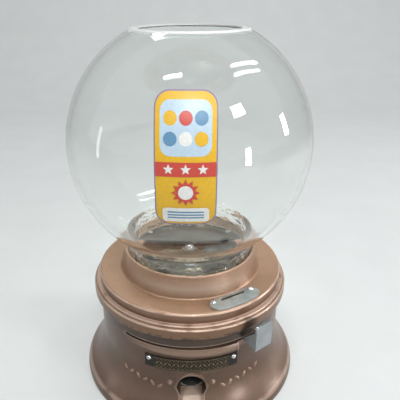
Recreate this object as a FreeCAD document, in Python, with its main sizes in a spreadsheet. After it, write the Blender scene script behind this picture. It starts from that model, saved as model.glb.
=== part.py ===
import FreeCAD, Part
import math
import os
from types import SimpleNamespace

import Sketcher
from FreeCAD import Placement, Rotation, Vector

# Gumball machine, millimetres, +Z up, the front looks along -Y.
# Azimuths are degrees round the upright axis, from the front towards the right hand side.

SIZES = [
    # Painted base: foot, bell-shaped cove, body and rim band
    ("foot_radius", 92.5),
    ("foot_edge", 2.0),
    ("body_radius", 76.0),
    ("body_wall", 4.0),
    ("cove_level", 0.5),
    ("cove_share", 0.81),
    ("band_overhang", 4.6),
    ("band_height", 9.0),
    ("band_round", 1.6),
    ("rim_height", 86.0),
    # Painted collar
    ("plate_seat", 6.0),
    ("plate_thickness", 2.5),
    ("flange_inset", 1.9),
    ("flange_thickness", 2.0),
    ("deck_inset", 5.0),
    ("deck_rise", 10.2),
    ("deck_round", 2.0),
    ("casting_wall", 3.3),
    ("cone_height", 17.4),
    ("cone_flare", 3.9),
    ("cone_lip", 1.7),
    ("screw_inset", 6.0),
    # Glass globe
    ("globe_radius", 91.5),
    ("globe_wall", 3.2),
    ("neck_share", 0.6852),
    ("neck_length", 17.8),
    ("neck_wall", 4.8),
    ("neck_fillet", 3.0),
    ("mouth_radius", 36.4),
    ("mouth_lip", 6.0),
    # Dispensing wheel and guard
    ("pocket_radius", 10.0),
    ("pocket_inset", 13.5),
    ("wheel_height", 14.5),
    ("ball_room", 17.3),
    ("guard_ledge", 2.7),
    ("guard_thickness", 1.2),
    ("guard_chord", 14.0),
    ("gasket_thickness", 1.2),
    ("shaft_radius", 4.0),
    # Lever, slot and ratchet
    ("slot_drop", 15.4),
    ("slot_height", 2.4),
    ("lip_share", 0.37),
    ("lip_shift", 2.1),
    ("lever_stroke", 72.0),
    ("lever_thickness", 1.6),
    ("handle_azimuth", 35.5),
    ("handle_spread", 4.9),
    ("handle_reach", 15.3),
    ("handle_height", 21.0),
    ("gusset_height", 16.0),
    ("ratchet_tip_share", 0.75),
    ("ratchet_root_share", 0.575),
    ("ratchet_thickness", 3.0),
    ("ratchet_phase", -5.5),
    # Coin way
    ("coin_azimuth", 29.5),
    ("coin_inset", 5.4),
    ("coin_slot", 20.4),
    ("coin_gap", 2.0),
    ("coin_plate_thickness", 1.3),
    ("rivet_spacing", 33.8),
    # Name plate
    ("name_gap", 1.6),
    ("name_share", 0.51),
    ("name_spread", 27.2),
    ("name_thickness", 0.8),
    # Gum outlet and chute
    ("outlet_drop", 13.5),
    ("outlet_radius", 11.2),
    ("trough_half", 8.4),
    ("trough_end", 10.2),
    ("trough_depth", 1.6),
    ("trough_rim", 1.3),
    ("tube_radius", 12.0),
    ("tube_wall", 1.4),
    ("tube_slope", 9.0),
    ("tube_bend", 22.0),
    # Cash-box cover and lock
    ("cover_thickness", 2.2),
    ("cover_gap", 2.3),
    ("lock_inset", 14.0),
    ("lock_radius", 9.0),
]


def number(size):
    return size.value if isinstance(size, Size) else size


def formula(size):
    return size.text if isinstance(size, Size) else repr(size)


class Size:
    """A number together with the formula over the sheet that gives it."""

    def __init__(self, value, text):
        self.value = value
        self.text = text

    def __add__(self, other):
        return Size(self.value + number(other), f"({self.text} + {formula(other)})")

    def __radd__(self, other):
        return self + other

    def __sub__(self, other):
        return Size(self.value - number(other), f"({self.text} - {formula(other)})")

    def __rsub__(self, other):
        return Size(other - self.value, f"({formula(other)} - {self.text})")

    def __mul__(self, other):
        return Size(self.value * number(other), f"({self.text} * {formula(other)})")

    def __rmul__(self, other):
        return self * other

    def __truediv__(self, other):
        return Size(self.value / number(other), f"({self.text} / {formula(other)})")

    def __neg__(self):
        return 0 - self


def root(size):
    return Size(math.sqrt(size.value), f"sqrt({size.text})")


def sine(angle):
    return Size(math.sin(math.radians(number(angle))), f"sin({formula(angle)} * 1 deg)")


def cosine(angle):
    return Size(math.cos(math.radians(number(angle))), f"cos({formula(angle)} * 1 deg)")


doc = FreeCAD.newDocument("gumball_machine")
sheet = doc.addObject("Spreadsheet::Sheet", "Sizes")
for row, (name, value) in enumerate(SIZES, 1):
    sheet.set(f"A{row}", name)
    sheet.set(f"B{row}", str(value))
    sheet.setAlias(f"B{row}", name)
doc.recompute()
S = SimpleNamespace(**{name: Size(float(sheet.get(name)), f"Sizes.{name}") for name, _ in SIZES})
parts = []


def bind(item, path, size):
    """Sets a property from a size, by formula where the size comes from the sheet."""
    if isinstance(size, Size):
        item.setExpression(path, size.text)
    else:
        setattr(item, path, size)


def place(item, base=(0, 0, 0), turn=0):
    item.Placement = Placement(Vector(*[number(part) for part in base]),
                               Rotation(Vector(0, 0, 1), number(turn)))
    for axis, part in zip("xyz", base):
        if isinstance(part, Size):
            item.setExpression(f"Placement.Base.{axis}", part.text)
    if isinstance(turn, Size):
        item.setExpression("Placement.Rotation.Angle", turn.text)


def new_body(label, turn=0):
    body = doc.addObject("PartDesign::Body", label)
    body.Label = label
    place(body, turn=turn)
    return body


def base_plane(body, role):
    return next(item for item in body.Origin.OriginFeatures if item.Role == role)


def new_sketch(body, role, shift=(0, 0, 0), turn=0):
    """Sketch on a base plane, shifted along the plane's axes and swung round the upright axis."""
    sketch = body.newObject("Sketcher::SketchObject", f"{body.Name}_outline")
    sketch.AttachmentSupport = [(base_plane(body, role), "")]
    sketch.MapMode = "FlatFace"
    upright = Vector(0, 0, 1) if role == "XY_Plane" else Vector(0, 1, 0)
    sketch.AttachmentOffset = Placement(Vector(*[number(part) for part in shift]),
                                        Rotation(upright, number(turn)))
    for axis, part in zip("xyz", shift):
        if isinstance(part, Size):
            sketch.setExpression(f"AttachmentOffset.Base.{axis}", part.text)
    if isinstance(turn, Size):
        sketch.setExpression("AttachmentOffset.Rotation.Angle", turn.text)
    return sketch


def fix(sketch, rules):
    """Adds (constraint name, its arguments, size) rules; a plain zero puts the point on an axis."""
    for kind, arguments, size in rules:
        if kind in ("DistanceX", "DistanceY") and not isinstance(size, Size) and size == 0:
            axis = -2 if kind == "DistanceX" else -1
            sketch.addConstraint(Sketcher.Constraint("PointOnObject", *arguments, axis))
            continue
        index = sketch.addConstraint(Sketcher.Constraint(kind, *arguments, number(size)))
        if isinstance(size, Size):
            sketch.setExpression(f"Constraints[{index}]", size.text)


def draw(sketch, corners, closed=True):
    """Outline through corners (x, y); (x, y, radius, side) arrives by an arc, side 1 turns left."""
    points = [Vector(number(corner[0]), number(corner[1]), 0) for corner in corners]
    count = len(corners)
    edges = []
    rules = []
    for i in range(count if closed else count - 1):
        start = points[i]
        end = points[(i + 1) % count]
        arrival = corners[(i + 1) % count]
        if len(arrival) == 2:
            edges.append((sketch.addGeometry(Part.LineSegment(start, end)), 1, 2))
            continue
        radius, side = arrival[2:]
        half = (end - start) * 0.5
        rise = math.sqrt(max(number(radius) ** 2 - half.Length ** 2, 0))
        left = Vector(-half.y, half.x, 0).normalize()
        middle = start + half + left * (rise * side)
        angles = [math.atan2(point.y - middle.y, point.x - middle.x) for point in (start, end)]
        if side < 0:
            angles.reverse()
        if angles[1] < angles[0]:
            angles[1] += 2 * math.pi
        circle = Part.Circle(middle, Vector(0, 0, 1), number(radius))
        edge = sketch.addGeometry(Part.ArcOfCircle(circle, *angles))
        edges.append((edge, 1, 2) if side > 0 else (edge, 2, 1))
        rules.append(("Radius", (edge,), radius))
    for (edge, _, end), (after, start, _) in zip(edges, edges[1:] + edges[:1 if closed else 0]):
        sketch.addConstraint(Sketcher.Constraint("Coincident", edge, end, after, start))
    for i, corner in enumerate(corners):
        edge, point = edges[i][:2] if i < len(edges) else (edges[-1][0], edges[-1][2])
        rules.append(("DistanceX", (edge, point), corner[0]))
        rules.append(("DistanceY", (edge, point), corner[1]))
    fix(sketch, rules)
    return sketch


def ring(sketch, x, y, radius):
    middle = Vector(number(x), number(y), 0)
    edge = sketch.addGeometry(Part.Circle(middle, Vector(0, 0, 1), number(radius)))
    fix(sketch, [("Radius", (edge,), radius), ("DistanceX", (edge, 3), x), ("DistanceY", (edge, 3), y)])
    return sketch


def feature(body, kind, sketch, **settings):
    """Adds a feature made from a sketch and makes sure that it changes the body."""
    doc.recompute()
    before = body.Shape.Volume if body.Tip else 0
    item = body.newObject(f"PartDesign::{kind}", f"{body.Name}_{kind}")
    if sketch:
        item.Profile = sketch
    for path, size in settings.items():
        bind(item, path, size)
    body.Tip = item
    doc.recompute()
    if abs(body.Shape.Volume - before) < 1e-3:
        raise RuntimeError(f"{item.Name} leaves the body as it was")
    return item


def spin(body, sketch, angle=360, kind="Revolution"):
    return feature(body, kind, sketch, ReferenceAxis=(sketch, ["V_Axis"]), Angle=angle)


def pad(body, sketch, length, midplane=False):
    return feature(body, "Pad", sketch, Length=length, Midplane=midplane)


def pocket(body, sketch, length, along_normal=True):
    return feature(body, "Pocket", sketch, Length=length, Reversed=along_normal)


def repeat(body, items, count, angle=360):
    return feature(body, "PolarPattern", None, Originals=items, Occurrences=count, Angle=angle,
                   Axis=(base_plane(body, "Z_Axis"), [""]))


def rectangle(sketch, left, bottom, right, top):
    return draw(sketch, [(left, bottom), (right, bottom), (right, top), (left, top)])


def turned(label, corners, x=0, y=0, count=1, turn=0):
    """Piece turned round an upright axis at (x, y), with evenly spaced copies round the machine."""
    body = new_body(label, turn)
    sketch = draw(new_sketch(body, "XZ_Plane", (x, 0, -y)), corners)
    item = spin(body, sketch)
    if count > 1:
        repeat(body, [item], count)
    return body


def hexagon(sketch, x, y, radius):
    corners = []
    for step in range(6):
        angle = math.radians(60 * step)
        corners.append((x + radius * math.cos(angle), y + radius * math.sin(angle)))
    return draw(sketch, corners)


def crown(radius, height):
    """Ball radius of a domed head with this base radius and height."""
    return (radius * radius + height * height) / (2 * height)


def boolean(kind, label, base, tool):
    item = doc.addObject(f"Part::{kind}", label)
    item.Label = label
    item.Base = base
    item.Tool = tool
    item.Refine = True
    doc.recompute()
    return item


# Levels and radii that several pieces share
body_inner = S.body_radius - S.body_wall
band_radius = S.body_radius + S.band_overhang
flange_radius = band_radius - S.flange_inset
deck_radius = band_radius - S.deck_inset
screw_circle = body_inner - S.screw_inset
lock_offset = body_inner - S.lock_inset
handle_end = S.body_radius + S.handle_reach
band_bottom = S.rim_height - S.band_height
plate_bottom = S.rim_height - S.plate_seat
slot_bottom = plate_bottom - S.slot_drop
cove_top = S.rim_height * S.cove_level
front_room = slot_bottom - cove_top
lip_height = front_room * S.lip_share
name_height = front_room * S.name_share
name_bottom = cove_top + S.name_gap
outlet_height = cove_top - S.outlet_drop
plate_top = plate_bottom + S.plate_thickness
plate_bore = band_radius - S.body_wall
plate_radius = plate_bore - 0.4
deck_top = S.rim_height + S.deck_rise
deck_under = deck_top - S.casting_wall
cone_top = deck_top + S.cone_height
neck_radius = deck_radius * S.neck_share
seat_bore = neck_radius + 0.6
cone_top_radius = seat_bore + S.cone_lip
cone_base = cone_top_radius + S.cone_flare
coin_circle = cone_base + S.coin_inset
guard_bore = seat_bore - 2.8
hopper_radius = guard_bore - 2.1
pocket_circle = hopper_radius - S.pocket_inset
ledge_bore = hopper_radius - 4.0
guard_circle = hopper_radius - 0.9
ledge_bottom = plate_top + S.ball_room
ledge_top = ledge_bottom + S.guard_ledge
seat_top = ledge_top + 1.5
glass_bottom = seat_top + S.gasket_thickness
neck_ball = S.globe_radius + S.neck_fillet
neck_across = neck_radius + S.neck_fillet
globe_middle = glass_bottom + S.neck_length + root(neck_ball * neck_ball - neck_across * neck_across)
rim_outer = S.mouth_radius + S.mouth_lip
globe_top = globe_middle + root(S.globe_radius * S.globe_radius - rim_outer * rim_outer) + 0.9
hub_radius = pocket_circle - S.tube_radius - 2.0
bush_radius = S.shaft_radius * 1.75
ratchet_tip = hub_radius * S.ratchet_tip_share
ratchet_root = hub_radius * S.ratchet_root_share
lever_bottom = slot_bottom + 0.4
lever_top = lever_bottom + S.lever_thickness
ratchet_bottom = lever_top + 0.4
ratchet_top = ratchet_bottom + S.ratchet_thickness
bearing_bottom = ratchet_top + 0.4
wheel_bottom = plate_top + 0.5
wheel_radius = hopper_radius - 0.9
hub_top = wheel_bottom + S.wheel_height + 2.0
clip_top = lever_bottom - 2.6
cover_top = S.cover_gap + S.cover_thickness
rivet_half = S.rivet_spacing / 2
rivet_circle = coin_circle - 1.2
coin_plate_top = deck_top + S.coin_plate_thickness
guide_flange = deck_under - 1.5
name_face = S.body_radius + S.name_thickness
pin_azimuth = S.name_spread - 2.4
pin_level = name_bottom + name_height * 0.7
tube_bore = S.tube_radius - S.tube_wall
outlet_face = body_inner - 6.5

# The cove and the foot meet in an S-curve of two arcs with the same tangent
flare = S.foot_radius - S.body_radius
drop = cove_top - S.foot_edge
arc_sum = (flare * flare + drop * drop) / (2 * flare)
cove_radius = arc_sum * S.cove_share
toe_radius = arc_sum - cove_radius
meet_cosine = (drop * drop - flare * flare) / (drop * drop + flare * flare)
meet_sine = 2 * flare * drop / (drop * drop + flare * flare)


def cove_at(level, offset):
    """Radius of the cove at a level, on the surface moved outwards by offset."""
    arc = cove_radius - offset
    return S.body_radius + cove_radius - root(arc * arc - (cove_top - level) * (cove_top - level))


# The hook of the cash-box cover reaches over its ledge, short of the wall above
hook_top = cover_top + 5.0
cover_ledge = cove_at(hook_top, 0 - S.body_wall) - 3.8


def bell(offset, upwards):
    """Corners of the S-curve moved outwards by offset, between foot edge and top of the cove."""
    foot = (S.foot_radius + offset, S.foot_edge)
    meet = (S.body_radius + cove_radius - (cove_radius - offset) * meet_cosine,
            cove_top - (cove_radius - offset) * meet_sine)
    top = (S.body_radius + offset, cove_top)
    if upwards:
        return [foot, meet + (toe_radius + offset, 1), top + (cove_radius - offset, -1)]
    return [top, meet + (cove_radius - offset, 1), foot + (toe_radius + offset, -1)]


def bell_solid(label, offset):
    body = new_body(label)
    corners = [(0, 0), (S.foot_radius + offset, 0)] + bell(offset, True) + [(0, cove_top)]
    spin(body, draw(new_sketch(body, "XZ_Plane"), corners))
    return body


def outlet_front(label, grow, bottom, start=outlet_face):
    """Front outline of the gum outlet: round arch, legs that close in, straight trough below."""
    body = new_body(label)
    side = S.outlet_radius + grow
    half = S.trough_half + grow
    legs_end = outlet_height - S.outlet_radius * 0.45
    corners = [(side, outlet_height), (0, outlet_height + side, side, 1),
               (-side, outlet_height, side, 1), (-half, legs_end), (-half, bottom), (half, bottom),
               (half, legs_end)]
    sketch = draw(new_sketch(body, "XZ_Plane", (0, 0, start)), corners)
    pad(body, sketch, S.foot_radius)
    return body


def outlet_side(label, sink):
    """Side outline of the way out: all above a floor that slopes down to the front, sunk this far."""
    body = new_body(label)
    inside = 4 - outlet_face
    top = outlet_height + S.outlet_radius + 4
    floor = outlet_height - S.outlet_radius + 0.3 - sink
    corners = [(inside, floor), (0 - outlet_face, floor), (0 - S.foot_radius, S.trough_end - 2 - sink),
               (0 - S.foot_radius, top), (inside, top)]
    pad(body, draw(new_sketch(body, "YZ_Plane"), corners), 4 * S.outlet_radius, midplane=True)
    return body


def make_base():
    rim = [(S.body_radius, band_bottom), (band_radius - S.band_round, band_bottom),
           (band_radius, band_bottom + S.band_round, S.band_round, 1),
           (band_radius, S.rim_height - S.band_round),
           (band_radius - S.band_round, S.rim_height, S.band_round, 1),
           (plate_bore, S.rim_height), (plate_bore, plate_bottom), (body_inner, plate_bottom)]
    body = new_body("base_shell")
    wall = bell(0, True) + rim + bell(0 - S.body_wall, False)
    corners = [(S.foot_radius - S.body_wall, 0), (S.foot_radius - 0.6, 0), (S.foot_radius, 0.6)] + wall
    spin(body, draw(new_sketch(body, "XZ_Plane"), corners))

    # Slot for the lever, from the left end of its stroke to the lever at rest
    slot_left = S.handle_azimuth - S.handle_spread - S.lever_stroke - 0.8
    slot_right = S.handle_azimuth + S.handle_spread + 1.0
    slot = new_sketch(body, "XZ_Plane", turn=slot_left - 90)
    rectangle(slot, body_inner - 2, slot_bottom, S.body_radius + 2, slot_bottom + S.slot_height)
    spin(body, slot, slot_right - slot_left, "Groove")

    # Rounded lip under the slot; its ring is off centre, so that the left end runs out in the wall
    lip_left = slot_left + 1.0
    shift_azimuth = lip_left + 90
    lip = new_sketch(body, "XZ_Plane", turn=lip_left - 90,
                     shift=(S.lip_shift * sine(shift_azimuth), 0, S.lip_shift * cosine(shift_azimuth)))
    lip_bottom = slot_bottom - lip_height
    draw(lip, [(S.body_radius - 2.6, lip_bottom), (S.body_radius - 1.1, lip_bottom),
               (S.body_radius - 1.1, slot_bottom, lip_height * 0.9, 1),
               (S.body_radius - 2.6, slot_bottom)])
    spin(body, lip, S.lever_stroke - 4)

    # Shelf that the coin slides along under the lever
    shelf = new_sketch(body, "XZ_Plane", turn=S.coin_azimuth + 16 - S.lever_stroke - 90)
    shelf_top = slot_bottom - 5.6
    rectangle(shelf, coin_circle - 3, shelf_top - 3, body_inner + 1, shelf_top)
    spin(body, shelf, S.lever_stroke)

    # Ledge of the cash-box cover
    ledge = new_sketch(body, "XZ_Plane")
    rectangle(ledge, cover_ledge, cover_top, S.foot_radius - S.body_wall / 2, cover_top + 3)
    spin(body, ledge)

    # Lugs under the mechanism plate for the clamping screws
    lug = new_sketch(body, "XY_Plane", (0, 0, plate_bottom - 5))
    draw(lug, [(-5, screw_circle), (0, screw_circle - 5, 5, 1), (5, screw_circle, 5, 1),
               (5, body_inner + 2), (-5, body_inner + 2)])
    first = pad(body, lug, 5)
    repeat(body, [first], 3)
    hole = ring(new_sketch(body, "XY_Plane", (0, 0, plate_bottom - 6)), 0, screw_circle, 2.3)
    repeat(body, [pocket(body, hole, 6)], 3)

    # Holes of the name plate pins
    holes = ring(new_sketch(body, "XZ_Plane", turn=0 - pin_azimuth), 0, pin_level, 1.25)
    repeat(body, [pocket(body, holes, S.body_radius + 5)], 2, 2 * pin_azimuth)

    # Gum outlet: raised rims, recessed trough, socket for the chute and the way over a sloping floor
    skin = bell_solid("outlet_skin", S.trough_rim)
    core = bell_solid("outlet_core", 0 - S.trough_depth)
    outer = outlet_front("outlet_outer", S.trough_rim, S.trough_end - 1.2)
    raised = boolean("Cut", "outlet_rims", boolean("Common", "outlet_plug", outer, skin), core)
    inner = outlet_front("outlet_inner", 0, S.trough_end, outlet_face - 3)
    recess = boolean("Cut", "outlet_recess", inner, core)
    way = boolean("Common", "outlet_way", inner, outlet_side("outlet_floor", 0))
    boss = boolean("Common", "outlet_boss", outlet_front("outlet_block", 2.6, S.trough_end - 0.2), core)
    socket = boolean("Common", "outlet_socket", boss, outlet_side("outlet_underside", 2.6))

    # Lug that the cam of the lock catches
    lug_body = new_body("lock_lug_block")
    lug_top = cover_top + 11.7
    block = new_sketch(lug_body, "XY_Plane", (0, 0, lug_top - 3))
    rectangle(block, -8, body_inner - 3, 8, S.foot_radius)
    pad(lug_body, block, 3)
    catch = boolean("Common", "lock_lug", lug_body, core)

    # Two cast beads beside the outlet
    beads = new_body("outlet_beads")
    bead_level = outlet_height + 3.5
    crest = cove_at(bead_level, 1.3)
    bead = new_sketch(beads, "YZ_Plane", (0, bead_level, 0), -12.2)
    draw(bead, [(3 - crest, 0), (0 - crest, 0), (1 - crest, 1.6, crown(1.6, 1.0), -1), (3 - crest, 1.6)])
    item = feature(beads, "Revolution", bead, ReferenceAxis=(bead, ["H_Axis"]), Angle=360)
    repeat(beads, [item], 2, 24.4)

    solid = boolean("Fuse", "base_with_rims", body, raised)
    solid = boolean("Fuse", "base_with_socket", solid, socket)
    solid = boolean("Fuse", "base_with_lug", solid, catch)
    solid = boolean("Fuse", "base_with_beads", solid, beads)
    solid = boolean("Cut", "base_with_trough", solid, recess)
    parts.append(boolean("Cut", "base_casting", solid, way))


def make_collar():
    skirt = deck_radius - S.casting_wall
    body = new_body("top_collar")
    corners = [(skirt, S.rim_height - 1.5), (plate_radius, S.rim_height - 1.5),
               (plate_radius, S.rim_height), (flange_radius, S.rim_height),
               (flange_radius, S.rim_height + S.flange_thickness - 0.8),
               (flange_radius - 0.8, S.rim_height + S.flange_thickness, 0.8, 1),
               (deck_radius, S.rim_height + S.flange_thickness), (deck_radius, deck_top - S.deck_round),
               (deck_radius - S.deck_round, deck_top, S.deck_round, 1),
               (cone_base + 1.2, deck_top), (cone_base - 0.3, deck_top + 1.4, 1.5, -1),
               (cone_top_radius, cone_top - 0.6),
               (seat_bore, cone_top - 0.6, S.cone_lip * 0.53, 1), (seat_bore, seat_top),
               (guard_bore, seat_top), (guard_bore, ledge_top), (ledge_bore, ledge_top),
               (ledge_bore, ledge_bottom), (hopper_radius, ledge_bottom), (hopper_radius, plate_top + 0.2),
               (hopper_radius + 3, plate_top + 0.2), (hopper_radius + 3, deck_under), (skirt, deck_under)]
    spin(body, draw(new_sketch(body, "XZ_Plane"), corners))
    boss = ring(new_sketch(body, "XY_Plane", (0, 0, plate_top)), 0, screw_circle, 5)
    repeat(body, [pad(body, boss, deck_under - plate_top + 0.5)], 3)
    hole = ring(new_sketch(body, "XY_Plane", (0, 0, plate_top - 1)), 0, screw_circle, 2.05)
    repeat(body, [pocket(body, hole, deck_under - plate_top - 0.4)], 3)
    way = new_sketch(body, "XY_Plane", (0, 0, deck_under - 1), S.coin_azimuth)
    half = S.coin_slot / 2 + 0.6
    rectangle(way, 0 - half, 0 - coin_circle - 1.6, half, 1.6 - coin_circle)
    ring(way, rivet_half, 0 - rivet_circle, 1.25)
    ring(way, 0 - rivet_half, 0 - rivet_circle, 1.25)
    pocket(body, way, S.casting_wall + 2)
    for azimuth in (130, 230):
        screw = new_sketch(body, "XY_Plane", (0, 0, ledge_bottom - 1), azimuth)
        ring(screw, 0, 0 - guard_circle, 1.25)
        pocket(body, screw, S.guard_ledge + 2)
    parts.append(body)


def make_globe():
    inner = S.globe_radius - S.globe_wall
    neck_inner = neck_radius - S.neck_wall
    inner_fillet = S.neck_fillet * 2

    def neck_meets(ball, neck, fillet):
        """Tangent points of the fillet between the neck and the ball."""
        across = neck + fillet
        span = ball + fillet
        level = globe_middle - root(span * span - across * across)
        share = ball / span
        return (neck, level), (across * share, globe_middle - (globe_middle - level) * share)

    outer_low, outer_high = neck_meets(S.globe_radius, neck_radius, S.neck_fillet)
    inner_low, inner_high = neck_meets(inner, neck_inner, inner_fillet)
    land = globe_middle + root(inner * inner - S.mouth_radius * S.mouth_radius)
    body = new_body("glass_globe")
    corners = [(neck_inner + 1.2, glass_bottom), (neck_radius - 1.2, glass_bottom),
               (neck_radius, glass_bottom + 1.2, 1.2, 1), outer_low, outer_high + (S.neck_fillet, -1),
               (rim_outer, globe_top - 0.9, S.globe_radius, 1), (rim_outer - 2.2, globe_top, 1.8, 1),
               (S.mouth_radius + 0.9, globe_top), (S.mouth_radius, globe_top - 0.9, 0.9, 1),
               (S.mouth_radius, land), inner_high + (inner, -1), inner_low + (inner_fillet, 1),
               (neck_inner, glass_bottom + 1.2)]
    corners[0] = corners[0] + (1.2, 1)
    spin(body, draw(new_sketch(body, "XZ_Plane"), corners))
    parts.append(body)
    gasket = [(guard_bore + 0.2, seat_top), (seat_bore - 0.3, seat_top), (seat_bore - 0.3, glass_bottom),
              (guard_bore + 0.2, glass_bottom)]
    parts.append(turned("globe_gasket", gasket))


def make_coin_way():
    plate = new_body("coin_slot_plate", S.coin_azimuth)
    rim = deck_radius - 1.4
    inner_edge = 3.5 - coin_circle
    corner_x = S.rivet_spacing * 0.46
    end_x = S.rivet_spacing * 0.63
    end_y = 0 - coin_circle - 3.6
    rim_y = 0 - root(rim * rim - corner_x * corner_x)
    outline = new_sketch(plate, "XY_Plane", (0, 0, deck_top))
    draw(outline, [(0 - corner_x * 0.9, inner_edge), (0 - end_x, end_y, 8.0, 1),
                   (0 - corner_x, rim_y, 8.0, 1), (corner_x, rim_y, rim, 1), (end_x, end_y, 8.0, 1),
                   (corner_x * 0.9, inner_edge, 8.0, 1)])
    half = S.coin_slot / 2
    rectangle(outline, 0 - half, 0 - coin_circle - S.coin_gap / 2, half, S.coin_gap / 2 - coin_circle)
    ring(outline, rivet_half, 0 - rivet_circle, 1.25)
    ring(outline, 0 - rivet_half, 0 - rivet_circle, 1.25)
    pad(plate, outline, S.coin_plate_thickness)
    parts.append(plate)

    rivets = new_body("coin_plate_rivets", S.coin_azimuth)
    for x in (rivet_half, 0 - rivet_half):
        rivet = new_sketch(rivets, "XZ_Plane", (x, 0, rivet_circle))
        draw(rivet, [(0, guide_flange - 1), (2.2, guide_flange - 1), (2.2, guide_flange),
                     (1.2, guide_flange), (1.2, coin_plate_top), (2.5, coin_plate_top),
                     (0, coin_plate_top + 1.5, crown(2.5, 1.5), 1)])
        spin(rivets, rivet)
    parts.append(rivets)

    guide = new_body("coin_guide", S.coin_azimuth)
    channel = new_sketch(guide, "XY_Plane", (0, 0, ratchet_top + 4.5))
    rectangle(channel, 0 - half - 1.6, 0 - coin_circle - 2.6, half + 1.6, 2.6 - coin_circle)
    pad(guide, channel, deck_under - ratchet_top - 4.5)
    flange = new_sketch(guide, "XY_Plane", (0, 0, guide_flange))
    rectangle(flange, -3.6 - rivet_half, 0 - rivet_circle - 4, rivet_half + 3.6, 4 - rivet_circle)
    pad(guide, flange, 1.5)
    way = new_sketch(guide, "XY_Plane", (0, 0, ratchet_top))
    rectangle(way, 0 - half - 0.6, 0 - coin_circle - 1.6, half + 0.6, 1.6 - coin_circle)
    ring(way, rivet_half, 0 - rivet_circle, 1.25)
    ring(way, 0 - rivet_half, 0 - rivet_circle, 1.25)
    pocket(guide, way, deck_top - ratchet_top)
    parts.append(guide)


def make_name_plate():
    plate = new_body("name_plate")
    section = new_sketch(plate, "XZ_Plane", turn=0 - S.name_spread - 90)
    rectangle(section, S.body_radius, name_bottom, name_face, name_bottom + name_height)
    spin(plate, section, 2 * S.name_spread)
    hole = ring(new_sketch(plate, "XZ_Plane", turn=0 - pin_azimuth), 0, pin_level, 1.25)
    repeat(plate, [pocket(plate, hole, S.body_radius + 5)], 2, 2 * pin_azimuth)
    parts.append(plate)
    pins = new_body("name_plate_pins")
    pin = new_sketch(pins, "YZ_Plane", (0, pin_level, 0), 0 - pin_azimuth)
    draw(pin, [(0 - body_inner + 0.5, 0), (0 - name_face - 1.3, 0),
               (0 - name_face, 2.0, crown(2.0, 1.3), -1), (0 - name_face, 1.2),
               (0 - body_inner + 0.5, 1.2)])
    item = feature(pins, "Revolution", pin, ReferenceAxis=(pin, ["H_Axis"]), Angle=360)
    repeat(pins, [item], 2, 2 * pin_azimuth)
    parts.append(pins)


def make_plate():
    plate = new_body("mechanism_plate")
    disc = new_sketch(plate, "XY_Plane", (0, 0, plate_bottom))
    ring(disc, 0, 0, plate_radius)
    ring(disc, 0, 0, bush_radius + 0.02)
    ring(disc, 0, pocket_circle, S.pocket_radius + 0.4)
    for x in (-1, 1):
        ring(disc, x * (S.tube_radius + 2.6), pocket_circle, 1.3)
    pad(plate, disc, S.plate_thickness)
    hole = ring(new_sketch(plate, "XY_Plane", (0, 0, plate_bottom - 1)), 0, screw_circle, 2.3)
    repeat(plate, [pocket(plate, hole, S.plate_thickness + 2)], 3)
    way = new_sketch(plate, "XY_Plane", (0, 0, plate_bottom - 1), S.coin_azimuth)
    half = S.coin_slot / 2 + 2.1
    rectangle(way, 0 - half, 0 - coin_circle - 3.1, half, 3.1 - coin_circle)
    pocket(plate, way, S.plate_thickness + 2)
    post = new_sketch(plate, "XY_Plane", (0, 0, plate_bottom - 1), post_azimuth)
    ring(post, 0, 0 - post_circle, 1.32)
    pocket(plate, post, S.plate_thickness + 2)
    parts.append(plate)
    head = plate_bottom - 5
    screw = [(0, head - 2.4), (2.4, head - 2.4), (3.6, head - 1.2, 1.2, 1), (3.6, head), (2.0, head),
             (2.0, deck_under - 2), (0, deck_under - 2)]
    parts.append(turned("collar_screws", screw, y=screw_circle, count=3))
    bush = bush_radius
    bore = S.shaft_radius + 0.05
    bearing = [(bore, bearing_bottom), (bush, bearing_bottom), (bush, plate_top), (bush + 2.5, plate_top),
               (bush + 2.5, plate_top + 2.0), (bore, plate_top + 2.0)]
    parts.append(turned("shaft_bearing", bearing))
    guard = new_body("ball_guard")
    radius = guard_bore - 0.3
    chord = root(radius * radius - S.guard_chord * S.guard_chord)
    sheet_outline = new_sketch(guard, "XY_Plane", (0, 0, ledge_top))
    draw(sheet_outline, [(chord, S.guard_chord), (0, radius, radius, 1),
                         (0 - chord, S.guard_chord, radius, 1)])
    pad(guard, sheet_outline, S.guard_thickness)
    lip = new_sketch(guard, "XY_Plane", (0, 0, ledge_bottom + 0.6))
    reach = root(ledge_bore * ledge_bore - S.guard_chord * S.guard_chord) - 2.0
    rectangle(lip, 0 - reach, S.guard_chord, reach, S.guard_chord + S.guard_thickness)
    pad(guard, lip, S.guard_ledge)
    for azimuth in (130, 230):
        hole = new_sketch(guard, "XY_Plane", (0, 0, ledge_top - 1), azimuth)
        ring(hole, 0, 0 - guard_circle, 1.25)
        pocket(guard, hole, S.guard_thickness + 2)
    parts.append(guard)
    screws = new_body("guard_screws")
    top = ledge_top + S.guard_thickness
    for azimuth in (130, 230):
        screw = new_sketch(screws, "XZ_Plane", turn=azimuth,
                           shift=(guard_circle * sine(azimuth), 0, guard_circle * cosine(azimuth)))
        draw(screw, [(0, ledge_bottom + 0.2), (1.2, ledge_bottom + 0.2), (1.2, top), (2.2, top),
                     (2.2, top + 0.5), (0, top + 1.1, crown(2.2, 0.6), 1)])
        spin(screws, screw)
    parts.append(screws)


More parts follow.
